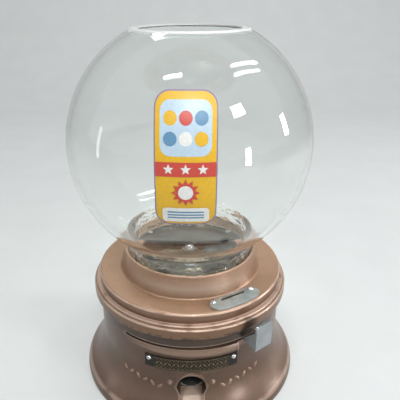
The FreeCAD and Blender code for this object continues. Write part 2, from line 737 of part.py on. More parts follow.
def make_wheel():
    bore = S.shaft_radius + 0.02
    flange = bush_radius + 3.5
    rim_top = wheel_bottom + S.wheel_height
    section = [(bore, plate_top + 2.6), (flange, plate_top + 2.6), (flange, wheel_bottom),
               (wheel_radius, wheel_bottom), (wheel_radius, rim_top - 2.0),
               (wheel_radius - 2.0, rim_top, 2.0, 1), (10.0, rim_top + 0.8), (8.5, hub_top), (bore, hub_top)]
    wheel = turned("gumball_wheel", section)
    hole = ring(new_sketch(wheel, "XY_Plane", (0, 0, wheel_bottom - 1)), 0, pocket_circle, S.pocket_radius)
    repeat(wheel, [pocket(wheel, hole, S.wheel_height + 4)], 5)
    parts.append(wheel)
    r = S.shaft_radius
    thread = r - 1.0
    shaft = [(0, clip_top - 2.9), (r - 0.5, clip_top - 2.9), (r, clip_top - 2.4), (r, clip_top - 1.4),
             (r - 0.8, clip_top - 1.4), (r - 0.8, clip_top), (r, clip_top), (r, hub_top - 0.2),
             (thread, hub_top - 0.2), (thread, hub_top + 5.0), (0, hub_top + 5.0)]
    parts.append(turned("wheel_shaft", shaft))
    nut = new_body("cap_nut")
    pad(nut, hexagon(new_sketch(nut, "XY_Plane", (0, 0, hub_top)), 0, 0, r * 1.6), 4.0)
    dome = new_sketch(nut, "XZ_Plane")
    draw(dome, [(0, hub_top + 3.0), (r * 1.2, hub_top + 3.0), (r * 1.2, hub_top + 4.6),
                (0, hub_top + 8.2, crown(r * 1.2, 3.6), 1)])
    spin(nut, dome)
    pocket(nut, ring(new_sketch(nut, "XY_Plane", (0, 0, hub_top - 1)), 0, 0, thread + 0.02), 6.2)
    parts.append(nut)

    ratchet = new_body("ratchet_wheel")
    outline = new_sketch(ratchet, "XY_Plane", (0, 0, ratchet_bottom))
    corners = []
    for tooth in range(5):
        face = S.coin_azimuth - 18 + S.ratchet_phase + 72 * tooth - 90
        corners.append((ratchet_tip * cosine(face), ratchet_tip * sine(face)))
        corners.append((ratchet_root * cosine(face), ratchet_root * sine(face)))
    draw(outline, corners)
    ring(outline, 0, 0, bore)
    pad(ratchet, outline, S.ratchet_thickness)
    parts.append(ratchet)
    clip = new_body("shaft_clip")
    shape = new_sketch(clip, "XY_Plane", (0, 0, clip_top - 1.3))
    ring(shape, 0, 0, r + 3.0)
    ring(shape, 0, 0, r - 0.78)
    pad(clip, shape, 1.2)
    gap = new_sketch(clip, "XY_Plane", (0, 0, clip_top - 2))
    rectangle(gap, -2, 0 - r - 4, 2, 0)
    pocket(clip, gap, 3)
    parts.append(clip)


# Pivot, tail and nose of the pawl, seen from the coin slot: across and towards the shaft
pawl_pivot = (19.7, 28.6 - coin_circle)
pawl_tail = (0.0, -0.6 - coin_circle)
pawl_nose = (ratchet_tip * -0.4, 0 - ratchet_tip - 0.6)
post_circle = hub_radius * 0.9
post_azimuth = S.coin_azimuth + 100
pin_azimuth_on_lever = S.coin_azimuth - 100


def make_lever():
    lever = new_body("vend_lever", S.handle_azimuth)
    swing = S.coin_azimuth - S.handle_azimuth
    hub = hub_radius
    reach = body_inner - 2.6
    wide = S.coin_slot / 2 + 3.4
    arm_y = 0 - root(reach * reach - wide * wide)
    hub_side = hub * 0.95
    hub_y = 0 - root(hub * hub - hub_side * hub_side)
    plate = new_sketch(lever, "XY_Plane", (0, 0, lever_bottom), swing)
    px, py = pawl_pivot
    draw(plate, [(0 - wide, arm_y), (wide, arm_y, reach, 1), (wide, py - 12), (px + 7, py - 4),
                 (px + 7, py + 4.5), (hub_side, hub_y), (0, hub, hub, 1), (0 - hub_side, hub_y, hub, 1),
                 (0 - wide, hub_y - 24)])
    ring(plate, 0, 0, bush_radius + 0.02)
    ring(plate, px, py, 2.02)
    half = S.coin_slot / 2 + 0.4
    rectangle(plate, 0 - half, 0 - coin_circle - 1.4, half, 1.4 - coin_circle)
    pad(lever, plate, S.lever_thickness)
    post = new_sketch(lever, "XY_Plane", (0, 0, lever_bottom - 1), swing - 100)
    ring(post, 0, 0 - post_circle, 1.32)
    pocket(lever, post, S.lever_thickness + 2)

    # Tongue through the slot, gusset on its left edge and finger plate across its end
    edge_in = reach - 3
    tongue = new_sketch(lever, "XY_Plane", (0, 0, lever_bottom))
    lean = sine(S.handle_spread) / cosine(S.handle_spread)
    draw(tongue, [(0 - edge_in * lean, 0 - edge_in), (0 - handle_end * lean, 0 - handle_end),
                  (handle_end * lean, 0 - handle_end), (edge_in * lean, 0 - edge_in)])
    pad(lever, tongue, S.lever_thickness)
    finger = new_sketch(lever, "XZ_Plane", (0, 0, handle_end - S.lever_thickness))
    side = handle_end * lean
    top = lever_bottom + S.handle_height
    draw(finger, [(0 - side, lever_bottom), (side, lever_bottom), (side, top - 3), (side - 3, top, 3, 1),
                  (1.5 - side, top), (0 - side, top - 1.5, 1.5, 1)])
    pad(lever, finger, S.lever_thickness)
    gusset = new_sketch(lever, "YZ_Plane", turn=0 - S.handle_spread)
    back = S.lever_thickness / 2 - handle_end
    root_y = 0 - S.body_radius - 0.6
    draw(gusset, [(root_y, lever_bottom), (back, lever_bottom), (back, lever_bottom + S.gusset_height),
                  (root_y, lever_top)])
    pad(lever, gusset, S.lever_thickness)
    parts.append(lever)

    bush = bush_radius
    bore = S.shaft_radius + 0.05
    sleeve = [(bore, clip_top), (bush + 2.5, clip_top), (bush + 2.5, lever_bottom), (bush, lever_bottom),
              (bush, lever_top + 0.2), (bore, lever_top + 0.2)]
    parts.append(turned("lever_hub", sleeve))
    pawl = new_body("drive_pawl", S.coin_azimuth)
    tx, ty = pawl_tail
    nx, ny = pawl_nose
    outline = new_sketch(pawl, "XY_Plane", (0, 0, lever_top + 0.4))
    draw(outline, [(tx - 1.9, ty + 0.4), (tx - 0.6, ty), (tx + 1.9, ty), (px + 4.2, py - 1.0),
                   (px + 3.4, py + 3.9), (nx + 0.6, ny + 0.6), (nx - 1.0, ny - 0.2),
                   (nx - 0.6, ny - 1.6), (px - 5.7, py - 1.0)])
    ring(outline, px, py, 2.05)
    pad(pawl, outline, S.ratchet_thickness - 0.2)
    parts.append(pawl)
    pivot = new_body("pawl_pin", S.coin_azimuth)
    shank = new_sketch(pivot, "XZ_Plane", (px, 0, 0 - py))
    pawl_top = lever_top + 0.2 + S.ratchet_thickness
    draw(shank, [(0, lever_bottom - 0.8), (2.8, lever_bottom - 0.8), (2.8, lever_bottom),
                 (2.0, lever_bottom), (2.0, pawl_top + 0.3), (3.4, pawl_top + 0.3), (3.4, pawl_top + 1.2),
                 (0, pawl_top + 1.2)])
    spin(pivot, shank)
    parts.append(pivot)


def make_spring():
    """Torsion spring round the bearing: a coil with a straight leg off each end."""
    wire = 0.65
    pin_radius = 1.3
    coil = bush_radius.value + 1.8
    low = bearing_bottom.value + 1.6
    rise = plate_bottom.value - 1.8 - low
    leg = math.sqrt(post_circle.value ** 2 - coil ** 2) + 2.0
    lead = math.acos((coil + wire + pin_radius + 0.05) / post_circle.value)
    start = math.radians(pin_azimuth_on_lever.value - 90) + lead
    end = math.radians(post_azimuth.value - 90) - lead
    turns = 3 + (end - start) / (2 * math.pi) % 1
    pitch = rise / turns

    def on_coil(share):
        angle = start + 2 * math.pi * turns * share
        return Vector(coil * math.cos(angle), coil * math.sin(angle), low + rise * share)

    def tangent(share):
        angle = start + 2 * math.pi * turns * share
        return Vector(-math.sin(angle), math.cos(angle), pitch / (2 * math.pi * coil)).normalize()

    helix = Part.makeHelix(pitch, rise, coil)
    helix.rotate(Vector(), Vector(0, 0, 1), math.degrees(start))
    helix.translate(Vector(0, 0, low))
    first = on_coil(0) - tangent(0) * leg
    last = on_coil(1) + tangent(1) * leg
    path = Part.Wire([Part.makeLine(first, on_coil(0))] + helix.Edges + [Part.makeLine(on_coil(1), last)])
    section = Part.Wire([Part.makeCircle(wire, first, tangent(0))])
    spring = doc.addObject("Part::Feature", "return_spring")
    spring.Label = "return_spring"
    spring.Shape = path.makePipeShell([section], True, True)
    parts.append(spring)
    for label, bottom, top, azimuth in (
            ("spring_pin", lever_bottom, bearing_bottom + 4.0, pin_azimuth_on_lever),
            ("spring_post", plate_bottom - 4.5, plate_top - 0.3, post_azimuth)):
        rod = [(0, bottom), (pin_radius, bottom), (pin_radius, top), (0, top)]
        parts.append(turned(label, rod, y=0 - post_circle, turn=azimuth))


def make_chute():
    chute = new_body("gum_chute")
    slope_cosine = cosine(S.tube_slope)
    slope_sine = sine(S.tube_slope)
    bend_middle = pocket_circle - S.tube_bend
    low_y = bend_middle + S.tube_bend * slope_sine
    low_z = outlet_height + (low_y + outlet_face) * slope_sine / slope_cosine
    bend_top = low_z + S.tube_bend * slope_cosine
    end_y = 0 - outlet_face - 10
    end_z = outlet_height - 10 * slope_sine / slope_cosine
    path = new_sketch(chute, "YZ_Plane")
    draw(path, [(pocket_circle, plate_bottom), (pocket_circle, bend_top),
                (low_y, low_z, S.tube_bend, -1), (end_y, end_z)], closed=False)
    outside = ring(new_sketch(chute, "XY_Plane", (0, 0, plate_bottom)), 0, pocket_circle, S.tube_radius)
    feature(chute, "AdditivePipe", outside, Spine=(path, []))
    flange = new_sketch(chute, "XY_Plane", (0, 0, plate_bottom - 1.5))
    ring(flange, 0, pocket_circle, S.tube_radius + 5)
    pad(chute, flange, 1.5)
    inside = ring(new_sketch(chute, "XY_Plane", (0, 0, plate_bottom)), 0, pocket_circle, tube_bore)
    feature(chute, "SubtractivePipe", inside, Spine=(path, []))
    screws = new_sketch(chute, "XY_Plane", (0, 0, plate_bottom - 3))
    for x in (-1, 1):
        ring(screws, x * (S.tube_radius + 2.6), pocket_circle, 1.3)
    pocket(chute, screws, 4)
    end = new_sketch(chute, "XZ_Plane", (0, 0, outlet_face - 0.2))
    reach = S.tube_radius * 3
    rectangle(end, 0 - reach, outlet_height - reach, reach, outlet_height + reach)
    pocket(chute, end, reach)
    parts.append(chute)
    group = new_body("chute_screws")
    head = plate_bottom - 1.5
    for x in (-1, 1):
        screw = new_sketch(group, "XZ_Plane", (x * (S.tube_radius + 2.6), 0, 0 - pocket_circle))
        draw(screw, [(0, head - 1.3), (2.2, head - 1.3), (2.2, head), (1.2, head), (1.2, plate_top - 0.2),
                     (0, plate_top - 0.2)])
        spin(group, screw)
    parts.append(group)


def make_cash_box():
    cover = new_body("bottom_plate")
    disc = new_sketch(cover, "XY_Plane", (0, 0, S.cover_gap))
    ring(disc, 0, 0, S.foot_radius - S.body_wall - 1.2)
    ring(disc, 0, lock_offset, S.lock_radius + 0.05)
    pad(cover, disc, S.cover_thickness)
    hook = new_sketch(cover, "YZ_Plane")
    near = 1.5 - cover_ledge
    draw(hook, [(near, cover_top - 0.5), (near + 1.6, cover_top - 0.5), (near + 1.6, hook_top),
                (near - 4.0, hook_top), (near - 4.0, hook_top - 1.6), (near, hook_top - 1.6)])
    pad(cover, hook, 20.0, midplane=True)
    parts.append(cover)

    barrel_top = cover_top + 11.9
    plug = S.lock_radius * 0.66
    face = S.cover_gap - 1.3
    barrel = [(plug + 0.05, face), (S.lock_radius + 2, face), (S.lock_radius + 2, S.cover_gap),
              (S.lock_radius, S.cover_gap), (S.lock_radius, barrel_top), (plug + 0.05, barrel_top)]
    parts.append(turned("lock_body", barrel, y=lock_offset))
    nut = new_body("lock_nut")
    shape = hexagon(new_sketch(nut, "XY_Plane", (0, 0, cover_top)), 0, lock_offset, S.lock_radius * 1.5)
    ring(shape, 0, lock_offset, S.lock_radius + 0.05)
    pad(nut, shape, 3.5)
    parts.append(nut)
    cam_bottom = barrel_top + 0.3
    core = turned("lock_plug", [(0, S.cover_gap - 1.1), (plug, S.cover_gap - 1.1), (plug, barrel_top + 0.2),
                                (3.0, barrel_top + 0.2), (3.0, cam_bottom + 2), (1.52, cam_bottom + 2),
                                (1.52, barrel_top - 4), (0, barrel_top - 4)], y=lock_offset)
    key = new_sketch(core, "XY_Plane", (0, 0, 0))
    rectangle(key, -0.7, lock_offset - 3.5, 0.7, lock_offset + 3.5)
    pocket(core, key, S.cover_gap + 4)
    parts.append(core)
    cam = new_body("lock_cam")
    shape = new_sketch(cam, "XY_Plane", (0, 0, cam_bottom))
    draw(shape, [(4.5, lock_offset, 4.5, 1), (4.5, body_inner + 1), (-4.5, body_inner + 1),
                 (-4.5, lock_offset), (0, lock_offset - 4.5, 4.5, 1)])
    ring(shape, 0, lock_offset, 3.02)
    pad(cam, shape, 2.0)
    parts.append(cam)
    head = cam_bottom + 2.0
    screw = [(0, barrel_top - 3.8), (1.5, barrel_top - 3.8), (1.5, head), (4.2, head), (4.2, head + 1.0),
             (0, head + 2.0, crown(4.2, 1.0), 1)]
    parts.append(turned("cam_screw", screw, y=lock_offset))


make_base()
make_collar()
make_globe()
make_coin_way()
make_name_plate()
make_plate()
make_wheel()
make_lever()
make_spring()
make_chute()
make_cash_box()
doc.recompute()

for item in doc.Objects:
    if "Invalid" in item.State or "Error" in item.State:
        raise RuntimeError(f"{item.Label} does not compute")
os.makedirs("parts", exist_ok=True)
for item in parts:
    if item.Shape.isNull() or not item.Shape.isValid():
        raise RuntimeError(f"{item.Label} has no valid shape")
    item.Shape.exportStep(f"parts/{item.Label}.step")
    print(f"{item.Label}: {len(item.Shape.Solids)} solid(s), {item.Shape.Volume / 1000:.2f} cm3")
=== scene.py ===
"""Looks of a countertop gumball machine: glass globe on a hammered copper-brown metal base."""

import math

import bpy
from mathutils import Matrix, Vector
from mathutils.bvhtree import BVHTree


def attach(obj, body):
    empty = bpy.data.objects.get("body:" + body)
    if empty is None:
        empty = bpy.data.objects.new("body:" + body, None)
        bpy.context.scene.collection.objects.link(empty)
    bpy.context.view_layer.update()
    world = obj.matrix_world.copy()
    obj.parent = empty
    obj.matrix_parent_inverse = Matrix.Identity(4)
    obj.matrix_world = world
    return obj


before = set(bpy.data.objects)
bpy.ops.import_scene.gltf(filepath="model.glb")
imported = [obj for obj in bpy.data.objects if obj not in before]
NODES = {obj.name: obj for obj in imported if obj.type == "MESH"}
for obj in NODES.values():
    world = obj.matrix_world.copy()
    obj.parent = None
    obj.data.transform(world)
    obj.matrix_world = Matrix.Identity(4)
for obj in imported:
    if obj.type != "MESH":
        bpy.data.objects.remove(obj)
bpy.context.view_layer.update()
MM = 0.001


# Colours and shader nodes

def rgb(text):
    """An sRGB hex colour as the linear colour that shaders take."""
    parts = [int(text[i:i + 2], 16) / 255 for i in (1, 3, 5)]
    return [p / 12.92 if p <= 0.04045 else ((p + 0.055) / 1.055) ** 2.4 for p in parts] + [1.0]


def wire(tree, node, inputs):
    """Sets or links the inputs of a node."""
    for key, value in inputs.items():
        if isinstance(value, bpy.types.NodeSocket):
            tree.links.new(value, node.inputs[key])
        else:
            node.inputs[key].default_value = value


def add(tree, kind, inputs, output=0, **settings):
    """Adds one node with its settings, values and links, and gives one of its outputs."""
    node = tree.nodes.new("ShaderNode" + kind)
    for key, value in settings.items():
        setattr(node, key, value)
    wire(tree, node, inputs)
    return node.outputs[output]


def material(name):
    """A new material with its node tree and its surface shader."""
    made = bpy.data.materials.new(name)
    made.use_nodes = True
    return made, made.node_tree, made.node_tree.nodes["Principled BSDF"]


def grain(tree, size, detail, stretch=(1, 1, 1), rough=0.5):
    """Grain of a surface with spots of this size in mm, squeezed along each axis by its stretch."""
    spot = add(tree, "Mapping", {"Vector": add(tree, "TexCoord", {}, "Object"), "Scale": stretch})
    return add(tree, "TexNoise", {"Vector": spot, "Scale": 1 / (size * MM), "Detail": detail,
                                  "Roughness": rough}, "Fac")


def patches(tree, size, low, high, least=0.0, most=1.0, detail=4, stretch=(1, 1, 1), rough=0.5):
    """Patches of this size in mm: least where the grain is under low, most where it is over high."""
    return add(tree, "MapRange", {"Value": grain(tree, size, detail, stretch, rough), "From Min": low,
                                  "From Max": high, "To Min": least, "To Max": most})


def zone(tree, low, high, most=1.0, broken=None, **places):
    """Part of the machine round a place, which is a middle and a reach in mm along X, Y or Z. Nearness falls
    from 1 to 0 over the reach, is broken up by patches, and counts as nothing at low and as most at high."""
    nearness = broken
    spot = add(tree, "TexCoord", {}, "Object")
    for axis, (middle, reach) in places.items():
        along = add(tree, "SeparateXYZ", {0: spot}, axis)
        away = add(tree, "Math", {0: along, 1: middle * MM}, operation="SUBTRACT")
        away = add(tree, "Math", {0: away}, operation="ABSOLUTE")
        inside = add(tree, "MapRange", {"Value": away, "From Min": reach * MM, "From Max": 0.0})
        if nearness is not None:
            inside = add(tree, "Math", {0: nearness, 1: inside}, operation="MULTIPLY")
        nearness = inside
    return add(tree, "MapRange", {"Value": nearness, "From Min": low, "From Max": high, "To Max": most})


# Cosine between the true and the rounded surface where an edge starts to turn pale with wear and painted
# highlight, and where it is palest
PALE_EDGE_STARTS = 0.995
PALE_EDGE_ENDS = 0.80


def worn_and_highlit_edges(tree, radius, most):
    """From 0 on flat faces to most on the edges that hands rub, this far in mm: pale with wear, and a painted
    highlight on the rounded edges as well.
    """
    rounded = add(tree, "Bevel", {"Radius": radius * MM}, "Normal", samples=6)
    true = add(tree, "NewGeometry", {}, "Normal")
    along = add(tree, "VectorMath", {0: rounded, 1: true}, "Value", operation="DOT_PRODUCT")
    return add(tree, "MapRange", {"Value": along, "From Min": PALE_EDGE_STARTS, "From Max": PALE_EDGE_ENDS,
                                  "To Max": most})


def coats(tree, ground, layers):
    """A ground colour under coats, each with the amount of it that shows and its colour."""
    colour = rgb(ground)
    for amount, shade in layers:
        colour = add(tree, "Mix", {"Factor": amount, "A": colour, "B": rgb(shade)}, "Result",
                     data_type="RGBA")
    return colour


# Materials

# Heights on the machine in mm, from the table up
FOOT_EDGE = 8.0
TROUGH_LEVEL = 16.0
FLARE_LEVEL = 18.0
ARCH_LEVEL = 33.0
LIP_LEVEL = 62.0
UNDER_RIM = 71.0
RIM_EDGE = 77.2
DARK_PATCH_LEVEL = 81.0
RIM_MIDDLE = 84.0
BAND_EDGE = 85.3
FLANGE_EDGE = 87.7
RECESS_LEVEL = 91.2
DECK_EDGE = 95.1
CONE_LEVEL = 104.0
NECK_LEVEL = 108.0
MOUTH_LEVEL = 282.0

# Places before the machine's axis and to the right of it in mm
ARCH_FRONT = -78.0
LIP_FRONT = -77.0
TROUGH_FRONT = -76.0
DARK_PATCH_FRONT = -68.0
CONE_FRONT = -58.0
DARK_PATCH_RIGHT = 42.0

# Both sides of the lever's gusset look along this direction
GUSSET_SIDE = (-0.861, -0.509, 0.0)


def hammered_paint(name, body, faded, dark, chipped):
    """Copper-brown metallic paint with a fine hammered skin under a dulled varnish: warm and satin, rubbed
    pale along its edges, which carry painted highlights too; painted highlights on the band, flange and deck
    edges, the slot's lip, the cone and the foot's edge, a painted sheen on the flare and painted light on the
    trough; painted shade under the rim and in the recess over it; darker round the outlet and in a patch by
    the lever; and chips to dark primer along the rim's lower edge. Its metal flakes are made 1.3 mm wide, far
    coarser than real ones, so that they show."""
    made, tree, shader = material(name)
    # Edges pale with wear and with painted highlight
    wear_and_highlight = add(tree, "Math", {0: worn_and_highlit_edges(tree, 1.6, 0.80), 1: patches(tree, 9, 0.20, 0.45)},
               operation="MULTIPLY")
    chips = add(tree, "Math", {0: patches(tree, 6.5, 0.49, 0.53, detail=5, stretch=(1, 1, 1.6), rough=0.7),
                               1: zone(tree, 0.1, 0.4, chipped, Z=(RIM_EDGE, 3.6))}, operation="MULTIPLY")
    layers = [
        # Faded by light, flecked with metal flakes, and yellowed in places
        (patches(tree, 38, 0.35, 0.68), faded),
        (patches(tree, 1.3, 0.40, 0.70, most=0.35, detail=2), dark),
        (patches(tree, 24, 0.52, 0.66, most=0.35, detail=5, rough=0.6), "#7C6549"),
        # A paler band on the rim, a painted highlight where light from above falls on it
        (zone(tree, 0.05, 0.30, Z=(RIM_MIDDLE, 8.5)), "#775840"),
        # Painted shade under the rim, where its overhang keeps the light off
        (zone(tree, 0.05, 0.35, 0.75, patches(tree, 20, 0.1, 0.6), Z=(UNDER_RIM, 7.5)), "#34281F"),
        # Edges rubbed pale, which are also painted highlights; a painted sheen on the flare and a painted
        # highlight round the edge of the foot
        (wear_and_highlight, "#E2C6B3"),
        (zone(tree, 0.1, 0.9, 0.40, Z=(FLARE_LEVEL, 15)), "#8C7264"),
        (zone(tree, 0.05, 0.6, 0.45, patches(tree, 18, 0.2, 0.5), Z=(FOOT_EDGE, 2.6)), "#CDB2A2"),
        # Painted shade in the recess over the rim
        (zone(tree, 0.15, 0.45, 0.45, Z=(RECESS_LEVEL, 4.2)), "#4E3628"),
    ]
    # Thin painted highlights round the band, the flange and the deck
    for edge in (BAND_EDGE, FLANGE_EDGE, DECK_EDGE):
        layers.append((zone(tree, 0.05, 0.6, 0.5, patches(tree, 14, 0.25, 0.5), Z=(edge, 0.9)), "#E6CABA"))
    layers += [
        # A dark patch on the rim, right of the front, by the lever
        (zone(tree, 0.08, 0.30, 0.75, patches(tree, 7, 0.25, 0.6), X=(DARK_PATCH_RIGHT, 10), Y=(DARK_PATCH_FRONT, 14),
              Z=(DARK_PATCH_LEVEL, 9)), "#382A1E"),
        # Painted highlights on the front of the slot's lip and of the collar's cone, where the front light
        # falls
        (zone(tree, 0.2, 0.7, 0.50, Z=(LIP_LEVEL, 5), Y=(LIP_FRONT, 28)), "#A98F7E"),
        (zone(tree, 0.05, 0.9, 0.55, Z=(CONE_LEVEL, 7.5), Y=(CONE_FRONT, 34)), "#BBA695"),
        # Darker round the outlet's arch, painted light on the trough floor, and chips down to the primer
        (zone(tree, 0.02, 0.25, 0.7, X=(0, 17), Y=(ARCH_FRONT, 14), Z=(ARCH_LEVEL, 10)), "#4C392D"),
        (zone(tree, 0.10, 0.40, X=(0, 11), Y=(TROUGH_FRONT, 18), Z=(TROUGH_LEVEL, 9)), "#CDB8A8"),
        (chips, "#33241B"),
    ]
    spot = add(tree, "TexCoord", {}, "Object")
    pebbles = add(tree, "TexVoronoi", {"Vector": spot, "Scale": 1 / (1.6 * MM)}, "Distance")
    skin = add(tree, "Bump", {"Height": pebbles, "Distance": 0.05 * MM, "Strength": 0.35})
    waves = add(tree, "Bump", {"Height": grain(tree, 26, 3), "Distance": 0.25 * MM, "Strength": 0.20,
                               "Normal": skin})
    wire(tree, shader, {"Base Color": coats(tree, body, layers), "Metallic": 0.40, "Specular IOR Level": 0.4,
                        "Specular Tint": rgb("#C0A898"), "Roughness": patches(tree, 12, 0.2, 0.8, 0.30, 0.46),
                        "Coat Weight": 0.7, "Coat Roughness": 0.30, "Normal": waves})
    return made


def blown_glass():
    """Old soda-lime glass: clear and faintly green, with a slow ripple that grows into folds where the neck
    was drawn in, a few scuffs, and a ground rim that is pale and matt."""
    made, tree, shader = material("soda_lime_glass")
    folds = zone(tree, 0, 1, 1, grain(tree, 11, 2, (1, 1, 2.2)), Z=(NECK_LEVEL, 24))
    ripple = add(tree, "Bump", {"Height": grain(tree, 55, 2), "Distance": 0.5 * MM, "Strength": 0.25})
    ripple = add(tree, "Bump", {"Height": folds, "Distance": 5.0 * MM, "Strength": 0.8, "Normal": ripple})
    scuffs = patches(tree, 3.0, 0.62, 0.75, most=0.05, detail=6, stretch=(1, 1, 3), rough=0.7)
    ground = zone(tree, 0.1, 0.5, Z=(MOUTH_LEVEL, 1.6))
    wire(tree, shader, {
        "Base Color": rgb("#FBFDFC"), "IOR": 1.52, "Normal": ripple,
        "Transmission Weight": add(tree, "MapRange", {"Value": ground, "To Min": 1.0, "To Max": 0.55}),
        "Roughness": add(tree, "Math", {0: ground, 1: 0.35, 2: scuffs}, operation="MULTIPLY_ADD")})
    # Light falls through the globe onto the collar, so that its shadow stays thin
    clear = add(tree, "BsdfTransparent", {"Color": rgb("#F6FAF8")})
    shade = add(tree, "LightPath", {}, "Is Shadow Ray")
    both = add(tree, "MixShader", {0: shade, 1: shader.outputs["BSDF"], 2: clear})
    wire(tree, tree.nodes["Material Output"], {"Surface": both})
    return made


def metal(name, colour, dull, roughness, size, stretch=(1, 1, 1), scratch=0.02, rub=0.35, satin=None):
    """Bare or plated metal: drawn or cast grain of this size in mm, dull patches of oxide, and bright rubbed
    edges that are partly a painted highlight. The grain is made coarser than the real one, so that it shows.
    Faces that look along the direction satin, either way, were out of reach of the polishing wheel."""
    made, tree, shader = material(name)
    lines = grain(tree, size, 4, stretch)
    polish = patches(tree, size, 0.25, 0.75, *roughness, stretch=stretch)
    if satin:
        facing = add(tree, "VectorMath", {0: add(tree, "TexCoord", {}, "Normal"), 1: satin}, "Value",
                     operation="DOT_PRODUCT")
        facing = add(tree, "Math", {0: facing}, operation="ABSOLUTE")
        missed = add(tree, "MapRange", {"Value": facing, "From Min": 0.90, "From Max": 0.97, "To Max": 0.55})
        polish = add(tree, "Math", {0: polish, 1: missed}, operation="MAXIMUM")
    layers = [(patches(tree, size * 6, 0.42, 0.72, most=0.75), dull),
              (worn_and_highlit_edges(tree, 0.35, rub), "#E4E2DC")]
    relief = add(tree, "Bump", {"Height": lines, "Distance": scratch * MM, "Strength": 0.4})
    wire(tree, shader, {"Base Color": coats(tree, colour, layers), "Metallic": 1.0, "Roughness": polish,
                        "Normal": relief})
    return made


def black_enamel():
    """Black stoved enamel on the name plate: near black and satin, dulled by brown dust."""
    made, tree, shader = material("black_enamel")
    dust = patches(tree, 5, 0.45, 0.80, most=0.40, detail=5)
    relief = add(tree, "Bump", {"Height": grain(tree, 0.9, 3), "Distance": 0.03 * MM, "Strength": 0.4})
    wire(tree, shader, {"Base Color": coats(tree, "#14110E", [(dust, "#3E352B")]), "Specular IOR Level": 0.3,
                        "Roughness": patches(tree, 5, 0.45, 0.80, 0.30, 0.52, detail=5), "Normal": relief})
    return made


def pressed_cork():
    """Pressed cork: tan crumbs with dark seams between them."""
    made, tree, shader = material("pressed_cork")
    spot = add(tree, "TexCoord", {}, "Object")
    crumbs = add(tree, "TexVoronoi", {"Vector": spot, "Scale": 1 / (2.2 * MM)}, "Distance")
    seams = add(tree, "MapRange", {"Value": crumbs, "From Min": 0.1, "From Max": 0.6})
    relief = add(tree, "Bump", {"Height": crumbs, "Distance": 0.3 * MM, "Strength": 0.6})
    wire(tree, shader, {"Base Color": coats(tree, "#A98A60", [(seams, "#6D5436")]), "Roughness": 0.9,
                        "Normal": relief})
    return made


def printed_ink(name, colour):
    """Ink of a water-slide transfer on glass: flat colour, slightly mottled, with a soft film sheen."""
    made, tree, shader = material(name)
    mottled = patches(tree, 1.8, 0.3, 0.8, most=0.22, detail=3)
    relief = add(tree, "Bump", {"Height": grain(tree, 0.7, 2), "Distance": 0.02 * MM, "Strength": 0.3})
    wire(tree, shader, {"Base Color": coats(tree, colour, [(mottled, "#8C7A66")]), "IOR": 1.45,
                        "Roughness": patches(tree, 1.8, 0.3, 0.8, 0.30, 0.45, detail=3), "Normal": relief})
    return made


# One paint in a lit and a shaded copy. The collar's is the palest, as light from above and hands reach it
# most. The base's is painted darker, a painted shade for its lower body, and is chipped along the rim. Its
# raised leaves are rubbed paler than the ground around them.
COLLAR_PAINT = hammered_paint("hammered_copper_paint", "#96745D", "#A5836B", "#694D3B", 0.0)
# Painted shade: the same copper paint, made darker for the base
SHADED_BASE_PAINT = hammered_paint("shaded_copper_paint", "#503A2D", "#604636", "#37271D", 0.8)
RUBBED_PAINT = hammered_paint("rubbed_copper_paint", "#7D6150", "#8F7360", "#574231", 0.0)
# Sand-cast and turned, with a soft grey shine; its grain is too fine to show as relief
CAST_ALUMINIUM = metal("cast_aluminium", "#8C8678", "#655F53", (0.16, 0.20), 3.0, scratch=0.004)
# Bright plate on small turned pieces, which shows the lamps as sparks
CHROME = metal("nickel_chrome", "#C2C4C4", "#A2A5A6", (0.10, 0.24), 3.5, scratch=0.003)
# Bright plate on stamped sheet: an even mirror, worn grey, with pale edges and a satin gusset
LEVER_CHROME = metal("stamped_chrome", "#ACB0B2", "#8A8F92", (0.10, 0.22), 3.5, scratch=0.003, rub=0.7,
                     satin=GUSSET_SIDE)
# Grey matt plate with small spangles, worn bright along its edges, which also carry a painted highlight
ZINC = metal("zinc_plated_steel", "#B0B4B4", "#8A9092", (0.34, 0.48), 1.5, scratch=0.03, rub=0.8)
# Mill finish: grey, with drawn lines and brown-grey oxide
STEEL = metal("plain_steel", "#9A9994", "#6F685E", (0.30, 0.50), 0.8, (1, 1, 6), 0.02)
# Oiled and dark, with a fine drawn line
SPRING_STEEL = metal("spring_steel", "#77756F", "#55504A", (0.28, 0.42), 0.5, (1, 1, 5), 0.01)
# Turned yellow metal with fine rings and brown patches of tarnish
BRASS = metal("turned_brass", "#BC9A55", "#86693A", (0.26, 0.44), 0.7, (1, 1, 8), 0.02)
# The same metal left to dull all over, for the raised pattern of the name plate
TARNISH = metal("tarnished_brass", "#8A7A55", "#5C5038", (0.40, 0.60), 0.7, scratch=0.02)

FINISHES = {
    COLLAR_PAINT: ["top_collar"],
    SHADED_BASE_PAINT: ["base_casting", "bottom_plate"],
    blown_glass(): ["glass_globe"],
    pressed_cork(): ["globe_gasket"],
    ZINC: ["coin_slot_plate", "gum_chute"],
    black_enamel(): ["name_plate"],
    BRASS: ["shaft_bearing", "lever_hub", "lock_body", "lock_nut", "lock_plug"],
    STEEL: ["mechanism_plate", "collar_screws", "guard_screws", "wheel_shaft", "ratchet_wheel", "drive_pawl",
            "pawl_pin", "spring_pin", "spring_post", "chute_screws", "lock_cam", "cam_screw", "coin_guide"],
    CAST_ALUMINIUM: ["ball_guard", "gumball_wheel"],
    CHROME: ["cap_nut", "coin_plate_rivets", "name_plate_pins"],
    LEVER_CHROME: ["vend_lever"],
    SPRING_STEEL: ["shaft_clip", "return_spring"],
}
for finish, names in FINISHES.items():
    for name in names:
        NODES[name].data.materials.clear()
        NODES[name].data.materials.append(finish)


# Printed and raised ornament

# Distance from the axis in metres that is clear of the machine, and points of a round outline and a corner
OUTSIDE = 0.2
OVAL_POINTS = 48
CORNER_POINTS = 8


